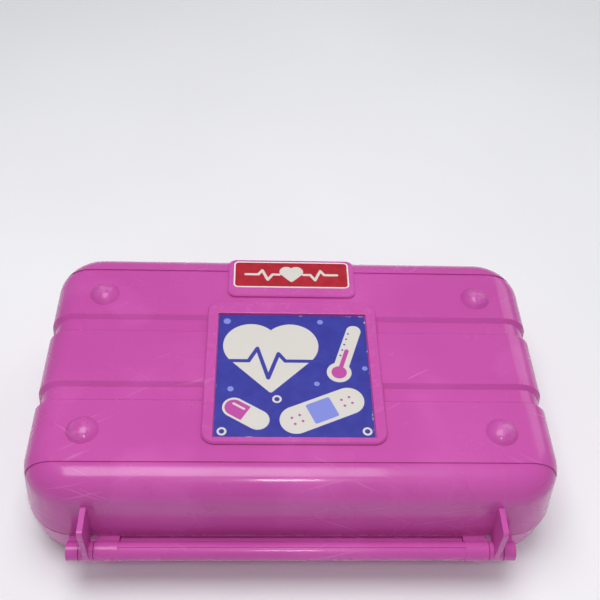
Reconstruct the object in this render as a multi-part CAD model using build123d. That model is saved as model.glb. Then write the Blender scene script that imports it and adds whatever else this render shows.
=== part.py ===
"""Toy doctor case: a moulded two-shell carrying case, closed and lying flat.

Frame: +Z up, origin at the centre of the base's flat underside, hinge side at -Y,
handle and latch side at +Y.  All lengths are in millimetres.
"""
import math
import os

from build123d import *

# ---------------------------------------------------------------- driving dimensions
# Case body
case_length = 300.0          # along X, at the parting line
case_width = 182.0           # along Y, at the parting line
base_depth = 34.0            # underside to parting line
lid_depth = 42.0             # parting line to lid panel
corner_radius = 30.0         # plan corners at the parting line
base_edge_radius = 20.0      # rounding between base walls and underside
lid_edge_radius = 16.0       # rounding between lid walls and panel
draft_inset = 4.0            # how far each shell's walls lean in at its closed end
wall = 2.4

# Channels that run along X over the panel and down the end walls of both shells
channel_centres = (27.5, -23.5)
channel_floor = 8.6          # flat width at the bottom of a channel
channel_slope = 2.4          # width of each sloping side
channel_depth = 2.4
channel_margin = 1.0         # channelled middle zone to the plan corners

# Narrow grooves along the lid, near its long edges
groove_inset = 20.0          # groove's middle from the case's side
groove_width = 2.0
groove_depth = 0.8

# Rim: a tongue on the base stands in a rabbet of the lid
tongue_thickness = 1.1
tongue_height = 2.8
tongue_clearance = 0.25
rim_chamfer = 0.5

# Lid panel: domes, picture frame and plaque
dome_diameter = 18.0
dome_height = 4.5
dome_end_inset = 34.2        # dome's middle from the case's end
dome_side_inset = 40.6       # dome's middle from the case's side
dome_core_diameter = 11.0    # round pocket under a dome
dome_core_height = 0.4       # pocket's roof above the panel
label_side = 89.0
label_corner = 1.0
label_thickness = 0.3
label_clearance = 0.4
label_centre_y = -10.5
frame_length = 103.0
frame_width = 104.0
frame_height = 2.0
frame_corner = 8.0
frame_centre_y = -7.5        # the frame is wider at the far side of its label
frame_bevel = 0.9
frame_inner_rounding = 0.6
plaque_length = 80.0
plaque_width = 31.5
plaque_side_inset = 10.5     # plaque's far edge from the case's side
plaque_height = 2.0
plaque_corner = 5.0
plaque_bevel = 0.7
badge_length = 73.0
badge_width = 22.5
badge_side_inset = 24.0      # badge's middle from the case's side
badge_corner = 3.0

# Hinge: bar, collars and stubs on the base, lugs on the lid, one pin at each end
hinge_drop = 2.0             # hinge axis below the parting line
hinge_reach = 8.4            # hinge axis out from the hinge wall
hinge_end_inset = 27.0       # stub's outer face from the case's end
stub_length = 6.5
stub_radius = 5.2
lug_gap = 8.5                # between the stub and the collar
collar_length = 12.7
collar_radius = 5.45
hinge_bar_radius = 5.1
web_thickness = 3.2          # web from the bar to the wall
web_drop = 1.0               # webs of collars, stubs and ears below the parting line
bar_line_depth = 0.5         # fine line along the bar
bar_line_angle = 100.0       # its place round the bar, from the side that faces the wall
bar_core_width = 5.2         # slot that cores the bar from below
bar_ribs = 7                 # cross ribs left in that slot
bar_rib_thickness = 1.8
lug_thickness = 3.0
lug_hub_gap = 0.4            # lug's round hub to the stub and to the collar
lug_radius = 5.2
lug_rise = 26.0              # lug's top above the parting line
lug_lift = 1.0               # lug's underside above the parting line
lug_corner = 2.0
hinge_pin_diameter = 5.0
hinge_pin_recess = 0.6       # pin end behind the stub's outer face
hinge_pin_grip = 10.0        # pin length held in the collar
pin_chamfer = 0.4            # at the ends of all pins and studs

# Handle: a bail on two headed pins
handle_pivot_reach = 12.2    # pivot out from the latch wall
handle_pivot_drop = 8.0      # pivot below the parting line
handle_arm = 30.0            # pivot to grip centre
handle_arm_width = 6.0
handle_arm_height = 10.0
handle_arm_chamfer = 1.6
handle_bend = 10.0
handle_eye_radius = 5.6
grip_radius = 6.6
grip_end_radius = 5.4
grip_length = 84.0
grip_taper = 15.0            # length of the tapered stretch at each end of the grip
grip_chamfer = 1.5
grip_floor_gap = 0.6         # grip above the surface when it hangs
ear_thickness = 5.0
ear_inner_x = 46.0
ear_gap = 0.4
ear_foot = 16.8              # ear's foot on the wall, below the pivot
stop_clearance = 0.3         # handle's arm above its stop, hanging
stop_thickness = 3.5
stop_near = 3.0              # stop's ends, measured along the arm from the pivot
stop_far = 11.0
handle_pin_diameter = 5.0
handle_pin_head = 9.0
handle_pin_head_height = 2.0
handle_pin_head_chamfer = 0.9

# Latch: a slider on two studs, its hooks pass over two keepers on the lid
latch_travel = 8.0
pad_half_length = 38.0
pad_stand = 1.5              # pad face out from the parting line's outline
pad_height = 13.4
slider_gap = 0.3
slider_lift = 2.0            # slider's lower edge above the pad's
slider_thickness = 3.2
slider_height = 10.5
slider_length = 66.0
slider_corner = 2.0
slider_shift = 3.0           # slider's middle from the case's middle, unlocked
keeper_width = 7.0
keeper_height = 4.0
keeper_rise = 3.0            # keeper's underside above the parting line
keeper_x = 19.5
hook_gap = 1.0               # hook's tip to the keeper, unlocked
hook_clearance = 0.4         # hook above the keeper, locked
hook_height = 4.1
hook_post = 4.5
hook_root = 1.0              # hook's post sunk into the slider
stud_x = 18.0
stud_diameter = 4.0
stud_head = 8.0
stud_head_height = 1.8
stud_head_chamfer = 0.8
stud_head_gap = 0.2          # stud's head to the slider's face
thumb_ribs = 5
thumb_rib_pitch = 3.2
thumb_rib_width = 1.6
thumb_rib_length = 7.4
thumb_rib_height = 1.5

running_fit = 0.08           # radial, parts that turn or slide on a pin
fixed_fit = 0.02             # radial, parts that stay still on a pin
cut_margin = 1.0             # cutters run this far past what they cut

# ---------------------------------------------------------------- places worked out
parting = base_depth
panel = base_depth + lid_depth
hinge_y = -(case_width / 2 + hinge_reach)
hinge_z = parting - hinge_drop
handle_y = case_width / 2 + handle_pivot_reach
handle_z = parting - handle_pivot_drop
handle_hang = math.degrees(math.asin((handle_z - grip_radius - grip_floor_gap) / handle_arm))
pad_y = case_width / 2 + pad_stand
slider_back = pad_y + slider_gap
slider_front = slider_back + slider_thickness
slider_low = parting - pad_height + slider_lift
stud_z = slider_low + slider_height / 2
stub_outer_x = case_length / 2 - hinge_end_inset
stub_inner_x = stub_outer_x - stub_length
collar_outer_x = stub_inner_x - lug_gap
collar_inner_x = collar_outer_x - collar_length
groove_y = case_width / 2 - groove_inset
dome_x = case_length / 2 - dome_end_inset
dome_y = case_width / 2 - dome_side_inset
plaque_y = case_width / 2 - plaque_side_inset - plaque_width / 2
badge_y = case_width / 2 - badge_side_inset


# ---------------------------------------------------------------- shell forms
def channel_mouth(inset):
    """Half-width of a channel where it meets a surface that lies inset inside the outside."""
    lean = math.atan2(channel_depth, channel_slope)
    return channel_floor / 2 + channel_slope + inset * math.tan(lean / 2)


def outline(inset):
    """Plan outline at the parting line, with the channels' notches in its ends."""
    plan = RectangleRounded(case_length - 2 * inset, case_width - 2 * inset, corner_radius - inset)
    end = case_length / 2 - inset
    mouth = channel_mouth(inset)
    floor = mouth - channel_slope
    flare = cut_margin * channel_slope / channel_depth
    for centre in channel_centres:
        for side in (-1, 1):
            plan -= Polygon(
                (side * (end + cut_margin), centre - mouth - flare),
                (side * (end - channel_depth), centre - floor),
                (side * (end - channel_depth), centre + floor),
                (side * (end + cut_margin), centre + mouth + flare),
                align=None,
            )
    return plan


def drafted_block(depth, edge_radius, inset):
    """Rounded block with drafted walls and a rounded closed end, before its channels."""
    plan = RectangleRounded(case_length - 2 * inset, case_width - 2 * inset, corner_radius - inset)
    lean = math.degrees(math.atan2(draft_inset, depth))
    block = extrude(plan, depth - inset, taper=lean)
    return fillet(block.faces().sort_by(Axis.Z)[-1].edges(), edge_radius - inset)


def arch(depth, edge_radius, inset, y):
    """Cross-section of a shell's form in a plane of constant Y."""
    rise = depth - inset
    foot = case_length / 2 - inset
    top = foot - draft_inset * rise / depth
    section = Polygon((-foot, 0), (-top, rise), (top, rise), (foot, 0), align=None)
    section = fillet(section.vertices().sort_by(Axis.Y)[-2:], edge_radius - inset)
    return Plane((0, y, 0), x_dir=(1, 0, 0), z_dir=(0, -1, 0)) * section


def form(depth, edge_radius, inset):
    """Solid form of one shell, open side at z = 0 and closed side up, with both channels."""
    zone = case_width / 2 - corner_radius - channel_margin
    mouth = channel_mouth(inset)
    floor = mouth - channel_slope
    stations = [(-zone, 0.0)]
    for centre in sorted(channel_centres):
        stations += [(centre - mouth, 0.0), (centre - floor, channel_depth)]
        stations += [(centre + floor, channel_depth), (centre + mouth, 0.0)]
    stations.append((zone, 0.0))
    middle = loft([arch(depth, edge_radius, inset + drop, y) for y, drop in stations], ruled=True)
    slot = Pos(0, 0, depth) * Box(2 * case_length, 2 * zone, 4 * depth)
    return (drafted_block(depth, edge_radius, inset) - slot) + middle


def bevel():
    """Cutter that bevels the outer edge of a form's rim, so that the closed case shows a seam."""
    block = Pos(0, 0, rim_chamfer / 2) * Box(2 * case_length, 2 * case_width, rim_chamfer)
    return block - loft([outline(rim_chamfer), Pos(0, 0, rim_chamfer) * outline(0)], ruled=True)


def side_plate(points, x_low, x_high):
    """Plate of constant X: an outline given in Y and Z, extruded from x_low to x_high."""
    face = Plane((x_low, 0, 0), x_dir=(0, 1, 0), z_dir=(1, 0, 0)) * Polygon(*points, align=None)
    return extrude(face, x_high - x_low, dir=(1, 0, 0))


def cross_rod(radius, x_low, x_high, y, z):
    """Cylinder along X."""
    middle = (x_low + x_high) / 2
    return Pos(middle, y, z) * Rot(0, 90, 0) * Cylinder(radius, x_high - x_low)


def span(side, near, far):
    """Lowest and highest X of a stretch that lies near to far from the middle, on one side."""
    return sorted((side * near, side * far))


# ---------------------------------------------------------------- base
def hinge_eye(radius, x_low, x_high):
    """Round eye on the hinge axis with a web back to the base's wall."""
    inside = -(case_width / 2 - wall)
    low = hinge_z - radius
    high = parting - web_drop
    web = side_plate([(hinge_y, low), (inside, low), (inside, high), (hinge_y, high)], x_low, x_high)
    return web + cross_rod(radius, x_low, x_high, hinge_y, hinge_z)


def hinge_bar():
    """Moulded bar between the collars, cored from below, with a fine line along its top."""
    inside = -(case_width / 2 - wall)
    low = hinge_z - hinge_bar_radius
    high = low + web_thickness
    bar = cross_rod(hinge_bar_radius, -collar_inner_x, collar_inner_x, hinge_y, hinge_z)
    bar += side_plate(
        [(hinge_y, low), (inside, low), (inside, high), (hinge_y, high)],
        -collar_inner_x, collar_inner_x,
    )
    line_y = hinge_y + hinge_bar_radius * math.cos(math.radians(bar_line_angle))
    line_z = hinge_z + hinge_bar_radius * math.sin(math.radians(bar_line_angle))
    bar -= cross_rod(bar_line_depth, -collar_inner_x, collar_inner_x, line_y, line_z)

    bay = (2 * collar_inner_x - (bar_ribs + 1) * bar_rib_thickness) / (bar_ribs + 1)
    for index in range(bar_ribs + 1):
        x = (index - bar_ribs / 2) * (bay + bar_rib_thickness)
        bar -= Pos(x, hinge_y, low) * Box(bay, bar_core_width, 2 * hinge_bar_radius)
    return bar


def beside_arm(along, below):
    """Point in Y and Z: a distance along the hanging arm from its pivot, and below its middle."""
    hang = math.radians(handle_hang)
    y = handle_y + along * math.cos(hang) - below * math.sin(hang)
    z = handle_z - along * math.sin(hang) - below * math.cos(hang)
    return y, z


def handle_ear(side):
    """Ear on the latch wall that carries one handle pin, with the stop that the arm hangs on."""
    inside = case_width / 2 - wall - draft_inset
    ear_outer_x = ear_inner_x + ear_thickness
    ear_x = span(side, ear_inner_x, ear_outer_x)
    upper = handle_arm_height / 2 + stop_clearance
    lower = upper + stop_thickness
    plate = side_plate(
        [
            (inside, parting - web_drop),
            (inside, handle_z - ear_foot),
            beside_arm(stop_far, lower),
            beside_arm(stop_far, upper),
            (handle_y, handle_z + handle_eye_radius),
        ],
        *ear_x,
    )
    stop = side_plate(
        [
            beside_arm(stop_near, upper),
            beside_arm(stop_far, upper),
            beside_arm(stop_far, lower),
            beside_arm(stop_near, lower),
        ],
        *span(side, ear_inner_x, ear_outer_x + ear_gap + handle_arm_width),
    )
    return plate + stop + cross_rod(handle_eye_radius, *ear_x, handle_y, handle_z)


def latch_pad():
    """Flat pad for the slider on the base's latch wall."""
    inside = case_width / 2 - wall - draft_inset
    low = parting - pad_height
    high = parting - rim_chamfer
    return side_plate(
        [(inside, high), (pad_y, high), (pad_y, low), (inside, low - (pad_y - inside))],
        -pad_half_length, pad_half_length,
    )


def make_base():
    upside_down = Pos(0, 0, parting) * Rot(0, 180, 0)
    shell = upside_down * (form(base_depth, base_edge_radius, 0) - bevel())
    for side in (-1, 1):
        shell += hinge_eye(collar_radius, *span(side, collar_inner_x, collar_outer_x))
        shell += hinge_eye(stub_radius, *span(side, stub_inner_x, stub_outer_x))
        shell += handle_ear(side)
    shell += hinge_bar()
    shell += latch_pad()
    shell -= upside_down * form(base_depth, base_edge_radius, wall)

    tongue = extrude(outline(wall - tongue_thickness), tongue_height)
    tongue -= extrude(outline(wall), tongue_height)
    shell += Pos(0, 0, parting) * tongue

    hinge_hole = hinge_pin_diameter / 2 + fixed_fit
    handle_hole = handle_pin_diameter / 2 + fixed_fit
    stud_hole = stud_diameter / 2 + fixed_fit
    hinge_hole_end = collar_outer_x - hinge_pin_grip - fixed_fit
    for side in (-1, 1):
        reach = span(side, hinge_hole_end, stub_outer_x + cut_margin)
        shell -= cross_rod(hinge_hole, *reach, hinge_y, hinge_z)
        reach = span(side, ear_inner_x - cut_margin, ear_inner_x + ear_thickness + cut_margin)
        shell -= cross_rod(handle_hole, *reach, handle_y, handle_z)
        drill = Rot(90, 0, 0) * Cylinder(stud_hole, 2 * (wall + pad_stand))
        shell -= Pos(side * stud_x, pad_y, stud_z) * drill
    return shell


# ---------------------------------------------------------------- lid
def lid_groove(side):
    """Cutter for one narrow groove: a slab less a form that lies a groove's depth inside."""
    slab = Pos(0, side * groove_y, lid_depth) * Box(2 * case_length, groove_width, 4 * lid_depth)
    return slab - drafted_block(lid_depth, lid_edge_radius, groove_depth)


def lid_lug(side):
    """Thin lug on the lid's hinge wall, with a round hub that fills its gap in the hinge."""
    middle = (collar_outer_x + stub_inner_x) / 2
    lug_x = span(side, middle - lug_thickness / 2, middle + lug_thickness / 2)
    hub_x = span(side, collar_outer_x + lug_hub_gap, stub_inner_x - lug_hub_gap)
    inside = -(case_width / 2 - wall - draft_inset)
    top = parting + lug_rise
    foot = parting + lug_lift
    plate = side_plate(
        [
            (inside, top),
            (hinge_y - lug_radius, top),
            (hinge_y - lug_radius, hinge_z),
            (hinge_y + lug_radius, hinge_z),
            (hinge_y + lug_radius, foot),
            (inside, foot),
        ],
        *lug_x,
    )
    corner = plate.edges().filter_by(Axis.X).sort_by(Axis.Z)[-2:].sort_by(Axis.Y)[0]
    plate = fillet(corner, lug_corner)
    return plate + cross_rod(lug_radius, *hub_x, hinge_y, hinge_z)


def dome(x, y):
    """Cap of a ball that stands out of the panel."""
    ball = ((dome_diameter / 2) ** 2 + dome_height ** 2) / (2 * dome_height)
    slab = Pos(x, y, panel + dome_height / 2) * Box(dome_diameter, dome_diameter, dome_height + wall)
    return Pos(x, y, panel + dome_height - ball) * Sphere(ball) & slab


def picture_frame():
    """Raised square frame; its middle is cut down to the panel for the label."""
    sink = channel_depth + wall / 2
    block = extrude(RectangleRounded(frame_length, frame_width, frame_corner), frame_height + sink)
    block = Pos(0, frame_centre_y, panel - sink) * block
    block = chamfer(block.faces().sort_by(Axis.Z)[-1].edges(), frame_bevel)
    opening = label_side + 2 * label_clearance
    block -= Pos(0, label_centre_y, panel + frame_height) * Box(opening, opening, 2 * frame_height)
    inner = block.faces().sort_by(Axis.Z)[-1].inner_wires()[0].edges()
    return fillet(inner, frame_inner_rounding)


def plaque():
    """Raised plaque for the badge, run out over the rounded far edge."""
    plan = RectangleRounded(plaque_length, plaque_width, plaque_corner)
    block = Pos(0, plaque_y, panel - lid_edge_radius) * extrude(plan, plaque_height + lid_edge_radius)
    return chamfer(block.faces().sort_by(Axis.Z)[-1].edges(), plaque_bevel)


def keeper(side):
    """Block on the lid's latch wall that a hook passes over."""
    inside = case_width / 2 - wall - draft_inset
    low = parting + keeper_rise
    high = low + keeper_height
    x_low = side * keeper_x - keeper_width / 2
    return side_plate(
        [(inside, low), (slider_front, low), (slider_front, high), (inside, high)],
        x_low, x_low + keeper_width,
    )


def make_lid():
    place = Pos(0, 0, parting)
    outside = form(lid_depth, lid_edge_radius, 0) - bevel()
    for side in (-1, 1):
        outside -= lid_groove(side)
    shell = place * outside
    dome_places = [(x, y) for x in (-dome_x, dome_x) for y in (-dome_y, dome_y)]
    for x, y in dome_places:
        shell += dome(x, y)
    shell += picture_frame()
    shell += plaque()
    for side in (-1, 1):
        shell += lid_lug(side)
        shell += keeper(side)
    shell -= place * form(lid_depth, lid_edge_radius, wall)
    for x, y in dome_places:
        pocket = Cylinder(dome_core_diameter / 2, 2 * (wall + dome_core_height))
        shell -= Pos(x, y, panel - wall) * pocket
    rabbet = outline(wall - tongue_thickness - tongue_clearance)
    shell -= place * extrude(rabbet, tongue_height + tongue_clearance)
    for side in (-1, 1):
        reach = span(side, collar_outer_x, stub_inner_x)
        shell -= cross_rod(hinge_pin_diameter / 2 + running_fit, *reach, hinge_y, hinge_z)
    return shell


# ---------------------------------------------------------------- handle
def grip():
    """Round grip along X: a straight middle, a taper to each side and bevelled ends."""
    half = grip_length / 2
    straight = half - grip_taper
    profile = Polyline(
        (-half, 0),
        (-half, grip_end_radius - grip_chamfer),
        (-half + grip_chamfer, grip_end_radius),
        (-straight, grip_radius),
        (straight, grip_radius),
        (half - grip_chamfer, grip_end_radius),
        (half, grip_end_radius - grip_chamfer),
        (half, 0),
        close=True,
    )
    return revolve(make_face(profile), Axis.X)


def make_handle():
    """Bail drawn upright about the pivot line, then swung down to where it hangs."""
    arm_x = ear_inner_x + ear_thickness + ear_gap + handle_arm_width / 2
    path = FilletPolyline(
        (-arm_x, 0, 0), (-arm_x, 0, handle_arm), (arm_x, 0, handle_arm), (arm_x, 0, 0),
        radius=handle_bend,
    )
    bar = Rectangle(handle_arm_width, handle_arm_height)
    bar = chamfer(bar.vertices(), handle_arm_chamfer)
    section = Plane((-arm_x, 0, 0), x_dir=(1, 0, 0), z_dir=(0, 0, 1)) * bar
    bail = sweep(section, path) + Pos(0, 0, handle_arm) * grip()
    for side in (-1, 1):
        eye = span(side, arm_x - handle_arm_width / 2, arm_x + handle_arm_width / 2)
        bail += cross_rod(handle_eye_radius, *eye, 0, 0)
        bail -= cross_rod(handle_pin_diameter / 2 + running_fit, *eye, 0, 0)
    return Pos(0, handle_y, handle_z) * Rot(-(90 + handle_hang), 0, 0) * bail


# ---------------------------------------------------------------- pins
def headed_pin(shank, head, shank_length, head_height, head_chamfer):
    """Pin along +Z: the head's underside at z = 0, the shank below it."""
    body = Pos(0, 0, -shank_length / 2) * Cylinder(shank / 2, shank_length)
    body = chamfer(body.faces().sort_by(Axis.Z)[0].edges(), pin_chamfer)
    cap = Pos(0, 0, head_height / 2) * Cylinder(head / 2, head_height)
    cap = chamfer(cap.faces().sort_by(Axis.Z)[-1].edges(), head_chamfer)
    return body + cap


def make_handle_pin(side):
    """Headed pin through the handle's eye into the ear."""
    head_x = ear_inner_x + ear_thickness + 2 * ear_gap + handle_arm_width
    pin = headed_pin(
        handle_pin_diameter, handle_pin_head, head_x - ear_inner_x,
        handle_pin_head_height, handle_pin_head_chamfer,
    )
    return Pos(side * head_x, handle_y, handle_z) * Rot(0, side * 90, 0) * pin


def make_hinge_pin(side):
    """Plain pin from the stub's outer end into the collar."""
    reach = span(side, collar_outer_x - hinge_pin_grip, stub_outer_x - hinge_pin_recess)
    pin = cross_rod(hinge_pin_diameter / 2, *reach, hinge_y, hinge_z)
    return chamfer(pin.edges().filter_by(GeomType.CIRCLE), pin_chamfer)


def make_stud(side):
    """Shouldered stud: its shank is fixed in the pad and its head keeps the slider on."""
    head_y = slider_front + stud_head_gap
    stud = headed_pin(
        stud_diameter, stud_head, head_y - pad_y + wall, stud_head_height, stud_head_chamfer
    )
    return Pos(side * stud_x, head_y, stud_z) * Rot(-90, 0, 0) * stud


# ---------------------------------------------------------------- latch
def hook(side, top):
    """Outline in X and Z of one hook that stands on the slider's top and points towards -X."""
    low = parting + keeper_rise + keeper_height + hook_clearance
    high = low + hook_height
    tip = side * keeper_x + keeper_width / 2 + hook_gap
    post = tip + latch_travel - hook_gap + hook_clearance
    root = top - hook_root
    return Polygon(
        (tip, low), (post, low), (post, root), (post + hook_post, root),
        (post + hook_post, high), (tip, high), align=None,
    )


def make_slider():
    """Slider in its unlocked place; it moves towards -X to lock."""
    top = slider_low + slider_height
    body = Pos(slider_shift, 0, stud_z) * Box(slider_length, slider_thickness, slider_height)
    body = fillet(body.edges().filter_by(Axis.Y), slider_corner)
    front = Plane((0, slider_thickness / 2, 0), x_dir=(1, 0, 0), z_dir=(0, -1, 0))
    slot = SlotCenterToCenter(latch_travel, stud_diameter + 2 * running_fit)
    for side in (-1, 1):
        body += extrude(front * hook(side, top), slider_thickness, dir=(0, -1, 0))
        opening = Rot(90, 0, 0) * extrude(slot, slider_thickness, both=True)
        body -= Pos(side * stud_x + latch_travel / 2, 0, stud_z) * opening
    depth = thumb_rib_height + slider_thickness / 2
    for index in range(thumb_ribs):
        x = slider_shift + (index - (thumb_ribs - 1) / 2) * thumb_rib_pitch
        body += Pos(x, depth / 2, stud_z) * Box(thumb_rib_width, depth, thumb_rib_length)
    return Pos(0, (slider_back + slider_front) / 2, 0) * body


# ---------------------------------------------------------------- labels
def make_picture_label():
    sheet = extrude(RectangleRounded(label_side, label_side, label_corner), label_thickness)
    return Pos(0, label_centre_y, panel) * sheet


def make_badge_label():
    sheet = extrude(RectangleRounded(badge_length, badge_width, badge_corner), label_thickness)
    return Pos(0, badge_y, panel + plaque_height) * sheet


parts = {
    "base_shell": make_base(),
    "lid_shell": make_lid(),
    "hinge_pin_left": make_hinge_pin(-1),
    "hinge_pin_right": make_hinge_pin(1),
    "carry_handle": make_handle(),
    "handle_pin_left": make_handle_pin(-1),
    "handle_pin_right": make_handle_pin(1),
    "latch_slider": make_slider(),
    "latch_stud_left": make_stud(-1),
    "latch_stud_right": make_stud(1),
    "picture_label": make_picture_label(),
    "badge_label": make_badge_label(),
}

os.makedirs("parts", exist_ok=True)
for name, shape in parts.items():
    export_step(shape, f"parts/{name}.step")
    print(name, "volume", round(shape.volume, 1), "solids", len(shape.solids()))
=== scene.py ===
# %% [markdown]
# # A toy doctor's carrying case in glossy pink plastic
#
# The case is two moulded shells with a moulded hinge along one side, a carry handle and a
# slide latch on the other, and two printed labels on its lid. The shells, handle, pins and
# latch come in finished shape from the CAD frame. This file gives them their looks: the
# plastic, the prints, the small moulded marks, the floor, the light and the camera.
#
# Lengths are in metres, in the frame's own axes: +Z up, the hinge side at -Y, the handle
# side at +Y, and the origin under the middle of the case.

# %% Load the frame
import math

import bpy
from mathutils import Matrix, Vector


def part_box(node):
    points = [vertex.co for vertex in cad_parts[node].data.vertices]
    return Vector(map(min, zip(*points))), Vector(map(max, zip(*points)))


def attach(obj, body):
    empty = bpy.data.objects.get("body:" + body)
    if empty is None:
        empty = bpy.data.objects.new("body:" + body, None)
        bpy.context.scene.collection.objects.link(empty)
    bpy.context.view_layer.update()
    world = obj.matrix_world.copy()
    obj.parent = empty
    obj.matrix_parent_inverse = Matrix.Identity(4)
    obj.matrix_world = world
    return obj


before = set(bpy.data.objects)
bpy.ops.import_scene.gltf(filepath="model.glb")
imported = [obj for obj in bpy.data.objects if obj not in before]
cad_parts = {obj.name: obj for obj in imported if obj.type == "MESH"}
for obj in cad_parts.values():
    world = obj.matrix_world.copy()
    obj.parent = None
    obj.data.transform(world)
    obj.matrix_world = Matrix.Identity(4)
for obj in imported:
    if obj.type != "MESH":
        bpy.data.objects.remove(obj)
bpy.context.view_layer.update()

MM = 0.001

# %% [markdown]
# ## The camera
#
# The photograph was taken by hand from the hinge side, looking down at about 48 degrees, a
# little turned and tilted. A camera can be placed by eye or worked out. Here it is worked
# out: its place, turn and lens were fitted to the corners of the square label, the four
# domes and the channels, so that the same points fall on the same pixels.

# %% Camera
CAMERA_PLACE = Vector((-0.0202, -0.3307, 0.4906))
CAMERA_DOWN = math.radians(47.57)
CAMERA_TURN = math.radians(3.84)
CAMERA_ROLL = math.radians(3.55)
LENS_MM = 53.98
SENSOR_MM = 36.0


def make_camera():
    """The camera at the photograph's place, from its axes: right, up and back."""
    ahead = Vector((
        math.sin(CAMERA_TURN) * math.cos(CAMERA_DOWN),
        math.cos(CAMERA_TURN) * math.cos(CAMERA_DOWN),
        -math.sin(CAMERA_DOWN),
    ))
    level = Vector((math.cos(CAMERA_TURN), -math.sin(CAMERA_TURN), 0.0))
    above = level.cross(ahead)
    right = math.cos(CAMERA_ROLL) * level + math.sin(CAMERA_ROLL) * above
    up = math.cos(CAMERA_ROLL) * above - math.sin(CAMERA_ROLL) * level
    turn = Matrix((right, up, -ahead)).transposed().to_4x4()
    data = bpy.data.cameras.new("camera")
    data.lens = LENS_MM
    data.sensor_width = SENSOR_MM
    camera = bpy.data.objects.new("camera", data)
    camera.matrix_world = Matrix.Translation(CAMERA_PLACE) @ turn
    bpy.context.scene.collection.objects.link(camera)
    bpy.context.scene.camera = camera


make_camera()
print("camera at", [round(c, 4) for c in CAMERA_PLACE])

# %% [markdown]
# ## One way to write a node tree
#
# Every finish below is a node tree, and so is every repeated moulding. Trees can be wired
# node by node, which takes many lines and hides the sum behind them. Here a Signal wraps an
# output socket, and its operators add Math nodes, so a mask reads as the expression it is.
# The reflected forms, such as `__rsub__`, are what lets a sum start with a number: in
# `1.0 - mask` Python asks the mask. Every other node comes from Graph.add, which takes the
# node's type, its settings, and the values or links of its sockets.

# %% Signals and graphs
class Signal:
    """An output socket that can stand in a sum."""

    def __init__(self, graph, socket):
        self.graph = graph
        self.socket = socket

    def output(self, name):
        """Another output of the same node."""
        return Signal(self.graph, self.socket.node.outputs[name])

    def apply(self, operation, other=None):
        """A Math node on this signal, or on this signal and another."""
        values = {0: self} if other is None else {0: self, 1: other}
        return self.graph.add("ShaderNodeMath", {"operation": operation}, values)

    def apply_after(self, first, operation):
        """A Math node on a number and then this signal."""
        return self.graph.add("ShaderNodeMath", {"operation": operation}, {0: first, 1: self})

    def __add__(self, other):
        return self.apply("ADD", other)

    def __radd__(self, other):
        return self.apply_after(other, "ADD")

    def __sub__(self, other):
        return self.apply("SUBTRACT", other)

    def __rsub__(self, other):
        return self.apply_after(other, "SUBTRACT")

    def __mul__(self, other):
        return self.apply("MULTIPLY", other)

    def __rmul__(self, other):
        return self.apply_after(other, "MULTIPLY")

    def __abs__(self):
        return self.apply("ABSOLUTE")


class Graph:
    """A node tree that is filled one node at a time."""

    def __init__(self, tree):
        self.tree = tree

    def add(self, kind, settings=None, values=None, output=0):
        """Adds a node: its settings first, then its sockets. Gives one of its outputs."""
        node = self.tree.nodes.new(kind)
        for name, value in (settings or {}).items():
            setattr(node, name, value)
        for name, value in (values or {}).items():
            if isinstance(value, Signal):
                self.tree.links.new(value.socket, node.inputs[name])
            else:
                node.inputs[name].default_value = value
        return Signal(self, node.outputs[output]) if node.outputs else None


def smaller(first, second):
    """The lower of a signal and another signal or number."""
    return first.apply("MINIMUM", second)


def larger(first, second):
    """The higher of a signal and another signal or number."""
    return first.apply("MAXIMUM", second)


print("reflected operators:", [name for name in vars(Signal) if name.startswith("__r")])

# %% [markdown]
# ## Colours and materials
#
# A colour picked from a picture is in sRGB, and Blender works in linear light. It could be
# typed in as linear numbers, but those are hard to read, so it is turned once, in Python.
# Each material starts as a Principled shader. Numbers that are the same all over go straight
# on the shader's sockets, and only what changes over the surface is linked.
#
# A Mix node has its sockets once for each type of value, under the same names, so the ones
# for colours are found by their numbers.

# %% Colours and materials
MIX_FACTOR, MIX_FIRST, MIX_SECOND, MIX_RESULT = 0, 6, 7, 2


def linear(red, green, blue):
    """A colour given as 0 to 255 in sRGB, in linear light."""
    def channel(value):
        share = value / 255
        return share / 12.92 if share <= 0.04045 else ((share + 0.055) / 1.055) ** 2.4
    return (channel(red), channel(green), channel(blue), 1.0)


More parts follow.
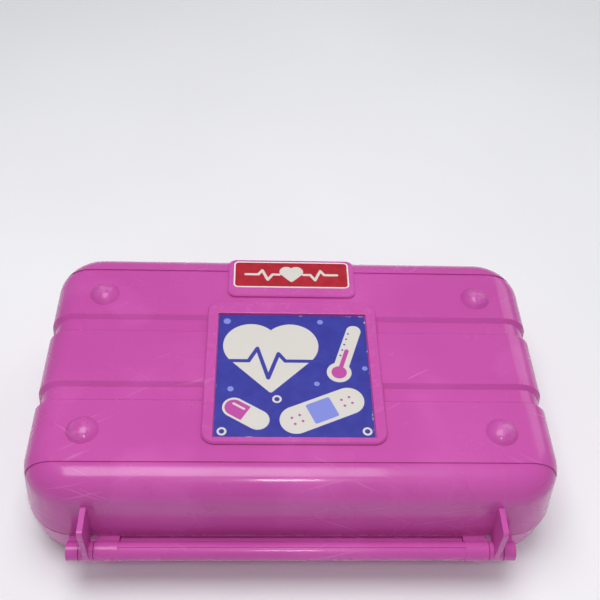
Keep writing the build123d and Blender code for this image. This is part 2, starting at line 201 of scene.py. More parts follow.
class Finish(Graph):
    """A material: a graph that ends in a Principled shader."""

    def __init__(self, name, **constants):
        self.material = bpy.data.materials.new(name)
        self.material.use_nodes = True
        super().__init__(self.material.node_tree)
        self.shader = self.tree.nodes["Principled BSDF"]
        for key, value in constants.items():
            self.shader.inputs[key.replace("_", " ")].default_value = value

    def feed(self, name, signal):
        """Links a signal to one of the shader's sockets."""
        self.tree.links.new(signal.socket, self.shader.inputs[name])

    def place(self, centre=(0.0, 0.0, 0.0), scale=(1.0, 1.0, 1.0)):
        """Object coordinates about a centre, times a scale."""
        coordinates = self.add("ShaderNodeTexCoord").output("Object")
        from_centre = self.add(
            "ShaderNodeVectorMath", {"operation": "SUBTRACT"}, {0: coordinates, 1: centre}
        )
        return self.add(
            "ShaderNodeVectorMath", {"operation": "MULTIPLY"}, {0: from_centre, 1: scale}
        )

    def noise(self, vector, waves, detail=2.0, roughness=0.5):
        """Noise from 0 to 1, with so many waves to each unit of its vector."""
        values = {"Vector": vector, "Scale": waves, "Detail": detail, "Roughness": roughness}
        return self.add("ShaderNodeTexNoise", None, values)

    def band(self, signal, low, high, to_low=0.0, to_high=1.0):
        """A signal from low to high, stretched to the new range and held there."""
        values = {
            "Value": signal, "From Min": low, "From Max": high, "To Min": to_low, "To Max": to_high,
        }
        return self.add("ShaderNodeMapRange", {"clamp": True}, values)

    def blend(self, factor, first, second):
        """A colour between two, by a factor."""
        values = {MIX_FACTOR: factor, MIX_FIRST: first, MIX_SECOND: second}
        return self.add("ShaderNodeMix", {"data_type": "RGBA"}, values, output=MIX_RESULT)

    def bump(self, height, distance, strength, under=None):
        """Relief of a height from 0 to 1, in metres, over another relief if one is given."""
        values = {"Height": height, "Distance": distance, "Strength": strength}
        if under is not None:
            values["Normal"] = under
        return self.add("ShaderNodeBump", None, values)


def dress(node, material):
    """Gives a CAD node its material."""
    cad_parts[node].material_slots[0].material = material


print("half grey is", round(linear(128, 128, 128)[0], 3), "in linear light")

# %% [markdown]
# ## Patterns that the plastics share
#
# Three kinds of detail come back in every plastic here. Flow is a wide, faint unevenness of
# the colour, from the melt. Patches are where hands have rubbed. Hairlines are scratches
# from play. They could be painted on a picture, but a noise covers any shape with no seam
# and stays fine close up.
#
# A hairline is noise stretched along one direction and kept only at its crests. The Mapping
# node is in its Texture form, which turns the place first and stretches it after. In its
# Point form it would stretch first, and both sets of scratches would run the same way.

# %% Flow, patches and scratches
FLOW_WIDE = (0.35, 0.65)
FLOW_NARROW = (0.52, 0.75, 0.0, 0.6)
FLOW_NARROWER = 2.6
SCRATCH_WAVES = 24.0
SCRATCH_STRETCH = 36.0
SCRATCH_CRESTS = (0.70, 0.76)
SCRATCH_TURNS = ((1.1, 0.0, 0.5), (-0.8, 0.3, 2.3))
SCRATCH_PATCHES = (14.0, 0.45, 0.65)


class Plastic(Finish):
    """A moulded plastic: a finish with the patterns that moulding and play leave."""

    def flow(self, place, waves, colours):
        """Three near shades, mixed by a wide noise and a narrower one."""
        deep, middle, pale = colours
        wide = self.band(self.noise(place, waves, detail=3.0), *FLOW_WIDE)
        narrow = self.band(self.noise(place, FLOW_NARROWER * waves), *FLOW_NARROW)
        return self.blend(narrow, self.blend(wide, deep, middle), pale)

    def patches(self, place, waves, low, high):
        """Soft-edged patches, 0 outside and 1 inside."""
        return self.band(self.noise(place, waves, detail=4.0, roughness=0.6), low, high)

    def hairlines(self, place, turn):
        """Thin scratches along one direction, 0 between them and 1 on them."""
        values = {"Vector": place, "Rotation": turn, "Scale": (1.0, 1.0 / SCRATCH_STRETCH, 1.0)}
        stretched = self.add("ShaderNodeMapping", {"vector_type": "TEXTURE"}, values)
        return self.band(self.noise(stretched, SCRATCH_WAVES, detail=1.0), *SCRATCH_CRESTS)

    def scratches(self, place):
        """Hairlines in two directions, only in patches."""
        one_way, other_way = [self.hairlines(place, turn) for turn in SCRATCH_TURNS]
        return larger(one_way, other_way) * self.patches(place, *SCRATCH_PATCHES)


print("a scratch is about", round(SCRATCH_STRETCH), "times as long as it is wide")

# %% [markdown]
# ## The shells
#
# The two shells are injection-moulded polypropylene, coloured right through, so wear never
# shows another colour, only a paler and duller one. The outside of the mould is polished,
# with a slight waviness, the peel. The inside is left as it came from the tool, so it is
# duller and finely grained. Each shell is one piece with one material, which has to know
# which side a point is on. Faces could be picked by hand for a second material, but an
# inner wall looks towards the middle of the hollow, so the sign of a dot product tells the
# two sides apart everywhere.
#
# Wear is only on the outside: on the domes and the frame, at the foot of the case and along
# the rim. Height alone finds all three. The hinge bar lies at the rim's height too and
# isn't rubbed, so the walls' mask keeps it clean. Each pair of places says where a mask is
# nought and where it is full, and the patches have their waves to the metre first.

# %% Where the shells are worn
PARTING = 34.0 * MM
SHELL_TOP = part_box("lid_shell")[1][2]
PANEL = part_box("picture_label")[0][2]
RAISED = (PANEL + 1.6 * MM, SHELL_TOP)
FOOT = (5.0 * MM, 0.5 * MM)
RIM = (1.2 * MM, 0.2 * MM)
WALLS = (-95.0 * MM, -94.0 * MM)
INSIDE = (0.0, -2.0 * MM)
RIM_WEAR = 0.7
WEAR_PATCHES = (150.0, 0.46, 0.62)
RUBBED_PATCHES = (17.0, 0.50, 0.72)


def find_inside(finish):
    """A mask that is 1 on the inner walls of the hollow and 0 outside."""
    outward = finish.add("ShaderNodeTexCoord").output("Normal")
    from_middle = finish.place(centre=(0.0, 0.0, PARTING))
    facing = finish.add(
        "ShaderNodeVectorMath", {"operation": "DOT_PRODUCT"}, {0: outward, 1: from_middle}
    ).output("Value")
    return finish.band(facing, *INSIDE)


def find_worn(finish, place):
    """A mask of the domes, the frame, the foot and the rim, broken up into patches."""
    axes = finish.add("ShaderNodeSeparateXYZ", None, {"Vector": place})
    depth, height = axes.output("Y"), axes.output("Z")
    raised = finish.band(height, *RAISED)
    foot = finish.band(height, *FOOT)
    rim = finish.band(abs(height - PARTING), *RIM) * finish.band(depth, *WALLS)
    touched = larger(larger(raised, foot), rim * RIM_WEAR)
    return touched * finish.patches(place, *WEAR_PATCHES)


print("the panel is at", round(PANEL / MM, 1), "mm and the domes' top at", round(SHELL_TOP / MM, 1))

# %% [markdown]
# ## The plastic of the shells
#
# With those masks the material is a few sums. Scratches and wear make the colour paler, and
# they and rubbing make it duller. The thin clear coat stands for the polished skin of the
# outside, so it is thinner where the plastic is rubbed, and there is none inside. The
# relief could be modelled, but it is a twentieth of a millimetre high, so it is a Bump: the
# peel first, and the grain of the inside over it.

# %% Case plastic
PINK_DEEP = linear(191, 76, 160)
PINK = linear(199, 84, 168)
PINK_PALE = linear(206, 96, 178)
PINK_WORN = linear(220, 146, 204)
CASE_FLOW_WAVES = 9.0
WORN_PALER, SCRATCH_PALER = 0.35, 0.3
POLISHED = 0.25
RUBBED_DULLER, SCRATCH_DULLER, WORN_DULLER, INSIDE_DULLER = 0.07, 0.15, 0.2, 0.2
COAT, RUBBED_COAT_LOSS = 0.28, 0.12
PEEL_WAVES = 160.0
PEEL_HEIGHT = 0.05 * MM
PEEL_STRENGTH = 0.5
SCRATCH_DEPTH = 0.1
GRAIN_WAVES = 1500.0
GRAIN_HEIGHT = 0.04 * MM
GRAIN_STRENGTH = 0.8


def make_case_pink():
    """Pink plastic: glossy outside, grained inside, and worn where it is touched."""
    finish = Plastic("case_pink", Specular_IOR_Level=0.25, Coat_Roughness=0.07)
    place = finish.place()
    inside = find_inside(finish)
    outside = 1.0 - inside
    worn = find_worn(finish, place) * outside
    marks = finish.scratches(place)
    rubbed = finish.patches(place, *RUBBED_PATCHES)

    shade = finish.flow(place, CASE_FLOW_WAVES, (PINK_DEEP, PINK, PINK_PALE))
    paler = larger(worn * WORN_PALER, marks * SCRATCH_PALER)
    finish.feed("Base Color", finish.blend(paler, shade, PINK_WORN))
    duller = rubbed * RUBBED_DULLER + marks * SCRATCH_DULLER + worn * WORN_DULLER
    finish.feed("Roughness", POLISHED + duller + inside * INSIDE_DULLER)
    finish.feed("Coat Weight", (COAT - rubbed * RUBBED_COAT_LOSS) * outside)
    waviness = finish.noise(place, PEEL_WAVES, detail=1.0) - marks * SCRATCH_DEPTH
    peel = finish.bump(waviness, PEEL_HEIGHT, PEEL_STRENGTH)
    grain = finish.noise(place, GRAIN_WAVES) * inside
    finish.feed("Normal", finish.bump(grain, GRAIN_HEIGHT, GRAIN_STRENGTH, under=peel))
    return finish.material


case_pink = make_case_pink()
for node in ("base_shell", "lid_shell"):
    dress(node, case_pink)
print("case_pink is on 2 shells and uses", len(case_pink.node_tree.nodes), "nodes")

# %% [markdown]
# ## The handle, the latch and the pins
#
# They are the same pink, from other moulds and other batches, so each is a shade apart. The
# handle and the latch are gripped, so they are rubbed in patches. The pins are turned from
# harder plastic, a little deeper in colour and duller. Two materials could be written out in
# full, but they differ only in their colours and their gloss, so one function makes both.

# %% Plastic of the small parts
SMALL_FLOW_WAVES = 22.0
SMALL_PEEL_WAVES = 300.0
GRIPPED_PATCHES = (60.0, 0.48, 0.70)
GRIPPED_PALER, GRIPPED_DULLER = 0.15, 0.12
GRIPPED_COAT_LEFT = 0.5


def make_small_part(name, colours, roughness, coat):
    """Pink plastic for a small moulding: its shades, its roughness and its coat."""
    finish = Plastic(name, Specular_IOR_Level=0.28, Coat_Roughness=0.08)
    place = finish.place()
    marks = finish.scratches(place)
    gripped = finish.patches(place, *GRIPPED_PATCHES)
    shade = finish.flow(place, SMALL_FLOW_WAVES, colours)
    paler = larger(marks, gripped * GRIPPED_PALER)
    finish.feed("Base Color", finish.blend(paler, shade, colours[-1]))
    finish.feed("Roughness", roughness + gripped * GRIPPED_DULLER + marks * SCRATCH_DULLER)
    finish.feed("Coat Weight", coat - gripped * (coat * (1.0 - GRIPPED_COAT_LEFT)))
    waviness = finish.noise(place, SMALL_PEEL_WAVES) - marks * SCRATCH_DEPTH
    finish.feed("Normal", finish.bump(waviness, PEEL_HEIGHT, PEEL_STRENGTH))
    return finish.material


HANDLE_PINKS = (linear(185, 70, 154), linear(193, 78, 162), linear(210, 110, 184))
PIN_PINKS = (linear(170, 58, 138), linear(180, 66, 148), linear(200, 96, 170))
PIN_KINDS = ("hinge_pin", "handle_pin", "latch_stud")
PINS = [f"{kind}_{side}" for kind in PIN_KINDS for side in ("left", "right")]

handle_pink = make_small_part("handle_pink", HANDLE_PINKS, roughness=0.24, coat=0.35)
pin_pink = make_small_part("pin_pink", PIN_PINKS, roughness=0.34, coat=0.1)
for node in ("carry_handle", "latch_slider"):
    dress(node, handle_pink)
for node in PINS:
    dress(node, pin_pink)
print("handle_pink is on 2 pieces and pin_pink on", len(PINS))

# %% [markdown]
# ## Drawing with distances
#
# The labels are printed, so their pictures are flat, with clean edges. A picture file could
# be wrapped on them, but then it would have one fixed sharpness. Here each shape is a
# distance instead: negative inside, nought on the edge, positive outside, in millimetres. A
# shape's mask is its distance held between two narrow limits, shapes join by the smaller
# distance, and an outline is the absolute value. The drawing stays sharp at any size.

# %% Shapes as distances
PRINT_EDGE = 0.12
HEART_TIP = 1.5


class Print(Finish):
    """A printed label: flat shapes drawn in millimetres about its centre."""

    def __init__(self, name, node, **constants):
        super().__init__(name, **constants)
        low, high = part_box(node)
        centre = [(a + b) / 2 for a, b in zip(low, high)]
        self.half_length, self.half_height = [(b - a) / 2 / MM for a, b in zip(low, high)][:2]
        self.spot = self.place(centre, (1 / MM, 1 / MM, 1 / MM))
        axes = self.add("ShaderNodeSeparateXYZ", None, {"Vector": self.spot})
        self.x, self.y = axes.output("X"), axes.output("Y")

    def at(self, centre, turn=0.0):
        """The sheet's own x and y, measured about another centre and turned, in degrees."""
        cosine, sine = math.cos(math.radians(turn)), math.sin(math.radians(turn))
        across, along = self.x - centre[0], self.y - centre[1]
        return across * cosine + along * sine, along * cosine - across * sine

    def length(self, across, along):
        """The distance from the centre that across and along are measured from."""
        return (across * across + along * along).apply("SQRT")

    def disc(self, place, radius):
        """A round spot."""
        return self.length(*place) - radius

    def block(self, place, half_length, half_height, rounding):
        """A rectangle with round corners."""
        across = abs(place[0]) - (half_length - rounding)
        along = abs(place[1]) - (half_height - rounding)
        outside = self.length(larger(across, 0.0), larger(along, 0.0))
        return outside + smaller(larger(across, along), 0.0) - rounding

    def outline(self, rounding):
        """The label's own edge."""
        return self.block((self.x, self.y), self.half_length, self.half_height, rounding)

    def bar(self, place, half_length, radius):
        """A block whose ends are half discs."""
        return self.block(place, half_length, radius, radius)

    def heart(self, place, side):
        """A square on its corner with a disc on each of its two upper sides."""
        diagonal = math.sqrt(0.5)
        across = (place[0] + place[1]) * diagonal
        along = (place[1] - place[0]) * diagonal
        square = self.block((across, along), side, side, HEART_TIP)
        right = self.disc((across - side, along), side)
        left = self.disc((across, along - side), side)
        return smaller(square, smaller(right, left))

    def stroke(self, points, radius):
        """A line of even width, with round ends, through a list of points."""
        nearest = None
        for (x0, y0), (x1, y1) in zip(points, points[1:]):
            length = math.hypot(x1 - x0, y1 - y0)
            turn = math.degrees(math.atan2(y1 - y0, x1 - x0))
            middle = self.at(((x0 + x1) / 2, (y0 + y1) / 2), turn)
            piece = self.bar(middle, length / 2 + radius, radius)
            nearest = piece if nearest is None else smaller(nearest, piece)
        return nearest

    def paint(self, below, distance, colour):
        """Lays a flat colour over what is below, inside a shape."""
        return self.blend(self.band(distance, PRINT_EDGE, -PRINT_EDGE), below, colour)


print("a print's edge is", 2 * PRINT_EDGE, "mm soft")

# %% [markdown]
# ## The inks and the film
#
# Both labels are printed on white vinyl with a satin film over it. Each ink is uneven by a
# few percent, the film has a faint ripple where it went down over the plastic, and in a few
# places its edge is scuffed through to the white. This could be part of each drawing, but
# it lies over any drawing in the same way, so one function ends both prints. A print's
# noises are in waves to the millimetre, because its place is in millimetres.

# %% Inks and the film over them
CREAM = linear(213, 208, 201)
PAPER = linear(232, 228, 222)
BLUE = linear(57, 60, 158)
BLUE_DEEP = linear(51, 53, 147)
PERIWINKLE = linear(128, 138, 214)
MAGENTA = linear(186, 74, 158)
RED = linear(181, 32, 50)
RED_DEEP = linear(163, 24, 42)

MOTTLE = (0.35, 0.65)
EDGE_STRIP = (-0.9, -0.2)
SCUFF_WAVES = 0.13
SCUFFS = (0.60, 0.68)
SPECK_WAVES = 6.0
SPECKS = (0.70, 0.78, 0.0, 0.12)
SMUDGE_WAVES = 0.05
SMUDGES = (0.4, 0.7)
SATIN, SMUDGE_DULLER, SCUFF_DULLER = 0.30, 0.12, 0.25
FILM_COAT, SMUDGE_COAT_LOSS = 0.3, 0.15
RIPPLE_WAVES, RIPPLE_SHARE = 0.07, 4.0
FINE_RIPPLE_WAVES, FINE_RIPPLE_SHARE = 0.8, 0.25
RIPPLE_HEIGHT = 0.05 * MM
RIPPLE_STRENGTH = 0.6


def field_of(sheet, waves, deep, plain):
    """The even ink behind a drawing, with a faint mottle."""
    mottle = sheet.band(sheet.noise(sheet.spot, waves, detail=3.0), *MOTTLE)
    return sheet.blend(mottle, deep, plain)


def film_over(sheet, drawing, edge):
    """Ends a print: scuffed edges, specks, and the satin film. Edge is its outline."""
    flakes = sheet.noise(sheet.spot, SCUFF_WAVES, detail=5.0, roughness=0.62)
    scuffed = sheet.band(edge, *EDGE_STRIP) * sheet.band(flakes, *SCUFFS)
    specks = sheet.band(sheet.noise(sheet.spot, SPECK_WAVES), *SPECKS)
    sheet.feed("Base Color", sheet.blend(larger(scuffed, specks), drawing, PAPER))
    smudge = sheet.band(sheet.noise(sheet.spot, SMUDGE_WAVES, detail=3.0), *SMUDGES)
    sheet.feed("Roughness", SATIN + smudge * SMUDGE_DULLER + scuffed * SCUFF_DULLER)
    sheet.feed("Coat Weight", FILM_COAT - smudge * SMUDGE_COAT_LOSS)
    wide_ripple = sheet.noise(sheet.spot, RIPPLE_WAVES)
    fine_ripple = sheet.noise(sheet.spot, FINE_RIPPLE_WAVES, detail=1.0)
    ripple = wide_ripple * RIPPLE_SHARE + fine_ripple * FINE_RIPPLE_SHARE
    sheet.feed("Normal", sheet.bump(ripple, RIPPLE_HEIGHT, RIPPLE_STRENGTH))


print("scuffs reach", -EDGE_STRIP[0], "mm in from a label's edge")

# %% [markdown]
# ## The picture label
#
# The square label in the middle of the lid shows what such a set is about. Its field is
# blue, and its shapes are cream with a little magenta and periwinkle: a heart with a pulse
# line, an adhesive plaster, a thermometer and a capsule. Cream and blue cover about as much
# of the sheet each. Each thing is a function of its own that paints over what is below it,
# so their order is the order of the inks. Their sizes are in millimetres on the sheet.

# %% Heart and plaster
def draw_heart(sheet, below):
    """A large heart, and a pulse line that crosses it from side to side."""
    centre, side = (-13.0, 9.0), 16.6
    pulse_radius = 1.2
    pulse = [
        (-43.0, 9.0), (-26.0, 9.0), (-21.0, 18.5), (-14.5, -3.5),
        (-8.5, 14.5), (-4.5, 9.0), (17.0, 9.0),
    ]
    picture = sheet.paint(below, sheet.heart(sheet.at(centre), side), CREAM)
    return sheet.paint(picture, sheet.stroke(pulse, pulse_radius), BLUE)


def draw_plaster(sheet, below):
    """An adhesive plaster on a slant: a strip with a pad and rows of air holes."""
    centre, turn = (16.0, -26.0), 24.0
    half_length, end_radius = 25.5, 9.2
    pad_half_length, pad_half_height, pad_rounding = 7.4, 7.0, 1.2
    holes_from_middle, hole_step, hole_radius = (15.5, 2.2), 2.4, 0.8
    across, along = sheet.at(centre, turn)
    picture = sheet.paint(below, sheet.bar((across, along), half_length, end_radius), CREAM)
    pad = sheet.block((across, along), pad_half_length, pad_half_height, pad_rounding)
    picture = sheet.paint(picture, pad, PERIWINKLE)
    columns = abs(abs(across) - holes_from_middle[0]) - hole_step
    rows = abs(along) - holes_from_middle[1]
    return sheet.paint(picture, sheet.disc((columns, rows), hole_radius), MAGENTA)


print("ready to draw:", draw_heart.__name__, "and", draw_plaster.__name__)

# %% [markdown]
# ## The thermometer and the capsule
#
# A thermometer has a row of even marks. They could be drawn one by one, but a Ping-Pong
# node folds the length of the stem up into short stretches, so one mark drawn in a stretch
# shows in each of them. A second distance keeps the row to the stem. On the capsule, the
# larger of two distances is where two shapes overlap: the inner bar, and everything to the
# left of its middle.

# %% Thermometer and capsule
def draw_thermometer(sheet, below):
    """A glass thermometer, nearly upright: a stem, a bulb and a thread of colour."""
    stem_centre, turn = (32.0, 17.0), 72.0
    stem_half_length, stem_radius = 20.5, 4.4
    bulb_centre, bulb_radius = (26.8, 1.0), 7.2
    thread_radius, pool_radius = 1.3, 4.5
    mark_step, mark_radius, marks_beside_thread = 2.2, 0.6, 2.6
    marks_middle, marks_half_length = 4.5, 11.5
    across, along = sheet.at(stem_centre, turn)
    bulb_place = sheet.at(bulb_centre)
    stem = sheet.bar((across, along), stem_half_length, stem_radius)
    glass = smaller(stem, sheet.disc(bulb_place, bulb_radius))
    picture = sheet.paint(below, glass, CREAM)
    thread = sheet.stroke([bulb_centre, stem_centre], thread_radius)
    filled = smaller(thread, sheet.disc(bulb_place, pool_radius))
    picture = sheet.paint(picture, filled, MAGENTA)
    folded = across.apply("PINGPONG", mark_step)
    row = sheet.disc((folded, along - marks_beside_thread), mark_radius)
    marks = larger(row, abs(across - marks_middle) - marks_half_length)
    return sheet.paint(picture, marks, BLUE)


def draw_capsule(sheet, below):
    """A capsule in two colours, with a light along its upper side."""
    centre, turn = (-27.0, -28.5), -32.0
    half_length, radius, cream_rim = 14.5, 6.6, 1.3
    light_centre, light_half_length, light_radius = (-6.0, 2.1), 4.2, 0.65
    across, along = sheet.at(centre, turn)
    picture = sheet.paint(below, sheet.bar((across, along), half_length, radius), CREAM)
    inner = sheet.bar((across, along), half_length - cream_rim, radius - cream_rim)
    picture = sheet.paint(picture, larger(inner, across), MAGENTA)
    light_place = (across - light_centre[0], along - light_centre[1])
    light = sheet.bar(light_place, light_half_length, light_radius)
    return sheet.paint(picture, light, CREAM)


print("ready to draw:", draw_thermometer.__name__, "and", draw_capsule.__name__)

# %% [markdown]
# ## The whole picture
#
# The field comes first, then the loose dots and rings that fill it, then the four things,
# and the film last. Rings are outlines: the absolute value of a disc's distance is small
# on its edge, so taking off half a line's width leaves a ring.

# %% Picture label
DOTS = (
    ((-39.5, 39.5), 2.2), ((17.0, 39.5), 1.8), ((-36.0, -11.5), 1.8),
    ((42.0, 4.0), 1.6), ((13.5, -7.5), 1.6),
)
RINGS = ((-9.5, -18.5), (-40.0, -40.5), (40.5, -40.0))
RING_RADIUS = 2.1
RING_HALF_WIDTH = 0.6
PICTURE_MOTTLE_WAVES = 0.12
PICTURE_ROUNDING = 1.0


def draw_dots(sheet, below):
    """A few loose dots and rings that fill the field."""
    picture = below
    for centre, radius in DOTS:
        picture = sheet.paint(picture, sheet.disc(sheet.at(centre), radius), PERIWINKLE)
    for centre in RINGS:
        ring = abs(sheet.disc(sheet.at(centre), RING_RADIUS)) - RING_HALF_WIDTH
        picture = sheet.paint(picture, ring, CREAM)
    return picture


def make_picture_print():
    """The blue field and everything on it, under the film."""
    sheet = Print("picture_print", "picture_label", Specular_IOR_Level=0.3, Coat_Roughness=0.12)
    picture = field_of(sheet, PICTURE_MOTTLE_WAVES, BLUE_DEEP, BLUE)
    for draw in (draw_dots, draw_heart, draw_capsule, draw_thermometer, draw_plaster):
        picture = draw(sheet, picture)
    film_over(sheet, picture, sheet.outline(PICTURE_ROUNDING))
    return sheet.material


picture_print = make_picture_print()
dress("picture_label", picture_print)
print("picture_print uses", len(picture_print.node_tree.nodes), "nodes")

# %% [markdown]
# ## The badge
#
# The small label at the far side is a red plate with a thin pale line round it. A pulse
# line runs from end to end, with a heart in its middle. The line could be drawn whole, but
# its two halves mirror each other, so one half is listed and the other is worked out.

# %% Badge label
BADGE_MOTTLE_WAVES = 0.15
BADGE_ROUNDING = 3.0
BADGE_BORDER = 0.9
BADGE_PULSE = [
    (-29.0, 0.0), (-21.0, 0.0), (-18.5, 3.6), (-15.0, -4.6), (-12.0, 0.0), (-7.6, 0.0),
]
BADGE_PULSE_RADIUS = 0.9
BADGE_HEART_CENTRE = (0.0, -0.6)
BADGE_HEART_SIDE = 4.4


def make_badge_print():
    """A red plate with a pale border line and a pulse line."""
    badge = Print("badge_print", "badge_label", Specular_IOR_Level=0.3, Coat_Roughness=0.10)
    picture = field_of(badge, BADGE_MOTTLE_WAVES, RED_DEEP, RED)
    outline = badge.outline(BADGE_ROUNDING)
    picture = badge.paint(picture, -BADGE_BORDER - outline, PAPER)
    mirrored = [(-x, y) for x, y in reversed(BADGE_PULSE)]
    left, right = [badge.stroke(half, BADGE_PULSE_RADIUS) for half in (BADGE_PULSE, mirrored)]
    heart = badge.heart(badge.at(BADGE_HEART_CENTRE), BADGE_HEART_SIDE)
    picture = badge.paint(picture, smaller(smaller(left, right), heart), CREAM)
    film_over(badge, picture, outline)
    return badge.material


badge_print = make_badge_print()
dress("badge_label", badge_print)
print("badge_print uses", len(badge_print.node_tree.nodes), "nodes")

# %% [markdown]
# ## The ejector marks inside the shells
#
# When a moulding has cooled, round pins push it out of its mould, and each pin leaves a low
# disc on the inside. They show as soon as the case is opened. They could be copied by hand,
# but they are rows of the same small shape, which is what Geometry Nodes are for. A grid
# gives the places, one low frustum is instanced on each, and a random width and rise with a
# fixed seed keep them from being exact copies. The instances are made real at the end,
# because an exported mesh can't hold instances. A Random Value node, like a Mix node, has
# its sockets once for each type, and the first two are for vectors.

# %% Ejector marks: the tree
MARKS_ALONG, MARKS_ACROSS = 4, 3
MARK_SIDES = 24
MARK_TAPER = 0.94
MARK_LEAST_SCALE = (0.97, 0.97, 0.85)
MARK_MOST_SCALE = (1.0, 1.0, 1.15)
MARK_SEED = 4
RANDOM_LEAST, RANDOM_MOST = 0, 1


def sockets_of(tree, inputs):
    """Gives a tree its named inputs and one output. Gives each input's identifier."""
    tree.interface.new_socket("Marks", in_out="OUTPUT", socket_type="NodeSocketGeometry")
    return {
        name: tree.interface.new_socket(name, in_out="INPUT", socket_type=kind).identifier
        for name, kind in inputs.items()
    }


def make_mark_tree():
    """Round marks on a grid in the plane of a wall."""
    tree = bpy.data.node_groups.new("ejector_marks", "GeometryNodeTree")
    keys = sockets_of(tree, {
        "Length": "NodeSocketFloat", "Width": "NodeSocketFloat", "Middle": "NodeSocketVector",
        "Radius": "NodeSocketFloat", "Rise": "NodeSocketFloat", "Turn": "NodeSocketVector",
        "Plastic": "NodeSocketMaterial",
    })
    graph = Graph(tree)
    given = graph.add("NodeGroupInput")
    grid = graph.add("GeometryNodeMeshGrid", None, {
        "Size X": given.output("Length"), "Size Y": given.output("Width"),
        "Vertices X": MARKS_ALONG, "Vertices Y": MARKS_ACROSS,
    })
    places = graph.add(
        "GeometryNodeSetPosition", None, {"Geometry": grid, "Offset": given.output("Middle")}
    )
    radius = given.output("Radius")
    mark = graph.add("GeometryNodeMeshCone", None, {
        "Vertices": MARK_SIDES, "Radius Top": radius * MARK_TAPER, "Radius Bottom": radius,
        "Depth": given.output("Rise"),
    })
    unevenness = graph.add(
        "FunctionNodeRandomValue", {"data_type": "FLOAT_VECTOR"},
        {RANDOM_LEAST: MARK_LEAST_SCALE, RANDOM_MOST: MARK_MOST_SCALE, "Seed": MARK_SEED},
    )
    marks = graph.add("GeometryNodeInstanceOnPoints", None, {
        "Points": places, "Instance": mark, "Rotation": given.output("Turn"), "Scale": unevenness,
    })
    real = graph.add("GeometryNodeRealizeInstances", None, {"Geometry": marks})
    finished = graph.add(
        "GeometryNodeSetMaterial", None, {"Geometry": real, "Material": given.output("Plastic")}
    )
    graph.add("NodeGroupOutput", None, {"Marks": finished})
    return tree, keys


mark_tree, mark_keys = make_mark_tree()
print("the tree's inputs are", list(mark_keys))

# %% [markdown]
# ## Growing the marks
#
# The tree runs as a modifier on an empty object, once for each shell, because the marks in
# the lid have to ride with the lid. A modifier could stay on the piece, but every piece is
# finished as a plain mesh here, so the result is copied and the modifier is taken away.
# Its inputs are set by their identifiers, which stay the same whatever they are called.

# %% Ejector marks in both shells
WALL = 2.4 * MM
MARK_RADIUS = 5.0 * MM
MARK_RISE = 0.8 * MM
MARK_SHOWN = 0.4 * MM
MARK_SPREAD = (204.0 * MM, 104.0 * MM)
MARKS_MIDDLE = (0.0, 2.0 * MM)
UPRIGHT = (0.0, 0.0, 0.0)
UPSIDE_DOWN = (math.pi, 0.0, 0.0)


def grow(name, tree, keys, values):
    """Runs a tree on an empty object and keeps the result as a plain mesh."""
    seed = bpy.data.objects.new(name + "_seed", bpy.data.meshes.new(name + "_seed"))
    bpy.context.scene.collection.objects.link(seed)
    modifier = seed.modifiers.new("grow", "NODES")
    modifier.node_group = tree
    for key, value in values.items():
        modifier[keys[key]] = value
    bpy.context.view_layer.update()
    shown = seed.evaluated_get(bpy.context.evaluated_depsgraph_get())
    mesh = bpy.data.meshes.new_from_object(shown)
    mesh.name = name
    piece = bpy.data.objects.new(name, mesh)
    bpy.context.scene.collection.objects.link(piece)
    seed.modifiers.remove(modifier)
    bpy.data.objects.remove(seed)
    return piece


def make_marks(name, body, height, turn):
    """Ejector marks on the inner face of one shell, which ride with it."""
    piece = grow(name, mark_tree, mark_keys, {
        "Length": MARK_SPREAD[0], "Width": MARK_SPREAD[1], "Middle": (*MARKS_MIDDLE, height),
        "Radius": MARK_RADIUS, "Rise": MARK_RISE, "Turn": turn, "Plastic": case_pink,
    })
    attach(piece, body)
    print(name, "has", len(piece.data.polygons), "faces")


make_marks("base_ejector_marks", "case_base", WALL + MARK_SHOWN - MARK_RISE, UPRIGHT)
make_marks("lid_ejector_marks", "lid", PANEL - WALL - MARK_SHOWN + MARK_RISE, UPSIDE_DOWN)

# %% [markdown]
# ## The floor
#
# The case stands on a plain pale floor. A box or a curved backdrop would do as well, but
# the object is looked at from every side, so the floor is one large sheet. A faint
# unevenness in its colour and its sheen lets the shadow under the case fall on something
# real.

# %% Floor
FLOOR_PALE = linear(246, 246, 247)
FLOOR_GREY = linear(240, 240, 242)
FLOOR_SIZE = 40.0
CLOUD_WAVES = 3.0
CLOUDS = (0.3, 0.7)
FLOOR_MATT, CLOUD_DULLER = 0.55, 0.1


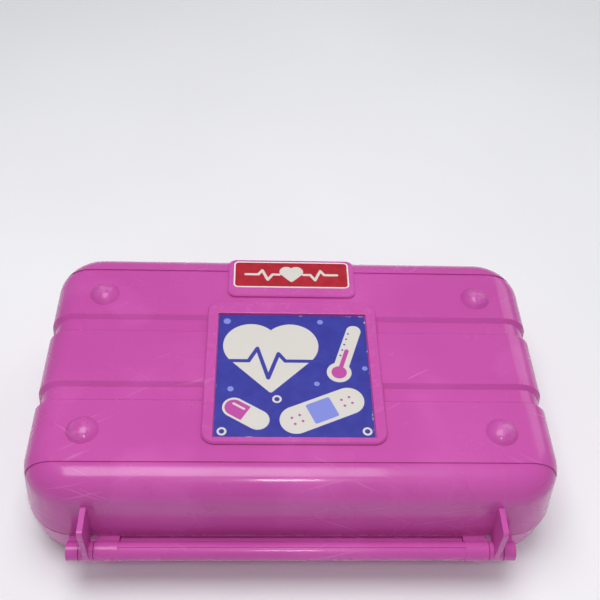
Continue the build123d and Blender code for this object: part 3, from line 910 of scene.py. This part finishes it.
def make_floor():
    """A wide flat sheet under the case."""
    finish = Finish("pale_floor", Specular_IOR_Level=0.12)
    cloud = finish.band(finish.noise(finish.place(), CLOUD_WAVES, detail=3.0), *CLOUDS)
    finish.feed("Base Color", finish.blend(cloud, FLOOR_GREY, FLOOR_PALE))
    finish.feed("Roughness", FLOOR_MATT + cloud * CLOUD_DULLER)
    half = FLOOR_SIZE / 2
    corners = [(-half, -half, 0.0), (half, -half, 0.0), (half, half, 0.0), (-half, half, 0.0)]
    mesh = bpy.data.meshes.new("floor")
    mesh.from_pydata(corners, [], [(0, 1, 2, 3)])
    mesh.materials.append(finish.material)
    floor = bpy.data.objects.new("floor", mesh)
    bpy.context.scene.collection.objects.link(floor)


make_floor()
print("the floor is", FLOOR_SIZE, "m wide")

# %% [markdown]
# ## The light
#
# Glossy plastic is read from its highlights, so the lights are placed by them, and not only
# by how bright the case gets. A softbox nearly overhead lights the lid and lays a soft line
# along the near rounded edge. A wide, weak one in front lifts the near wall. A small one
# near the camera puts a bright point on each dome, and a low one behind, at the right,
# draws the far edge. The sky is an even pale grey that keeps the shadows open.

# %% Light
CASE_MIDDLE = Vector((0.0, 0.0, 0.04))
WHITE = (1.0, 1.0, 1.0)
LIGHTS = (
    # name, place, size in metres, watts, colour
    ("high_softbox", (-0.1, 0.0, 1.1), 0.6, 7.6, (0.98, 0.98, 1.0)),
    ("near_fill", (-0.1, -1.5, 0.9), 1.2, 0.4, WHITE),
    ("small_flash", (0.02, -0.42, 0.75), 0.09, 0.8, WHITE),
    ("rear_edge", (1.0, 0.9, 0.8), 0.8, 3.0, WHITE),
)
SKY_COLOUR = (0.97, 0.98, 1.0, 1.0)
SKY_STRENGTH = 0.31


def add_light(name, place, size, watts, colour):
    """A square softbox at a place, turned to face the case."""
    data = bpy.data.lights.new(name, "AREA")
    data.size = size
    data.energy = watts
    data.color = colour
    light = bpy.data.objects.new(name, data)
    light.location = place
    light.rotation_euler = (CASE_MIDDLE - Vector(place)).to_track_quat("-Z", "Y").to_euler()
    bpy.context.scene.collection.objects.link(light)


def make_sky():
    """Even light from all round."""
    world = bpy.data.worlds.new("sky")
    world.use_nodes = True
    background = world.node_tree.nodes["Background"]
    background.inputs["Color"].default_value = SKY_COLOUR
    background.inputs["Strength"].default_value = SKY_STRENGTH
    bpy.context.scene.world = world


for light in LIGHTS:
    add_light(*light)
make_sky()
bpy.context.scene.view_settings.view_transform = "Standard"
print("lights:", [light[0] for light in LIGHTS])

# %% [markdown]
# ## The end
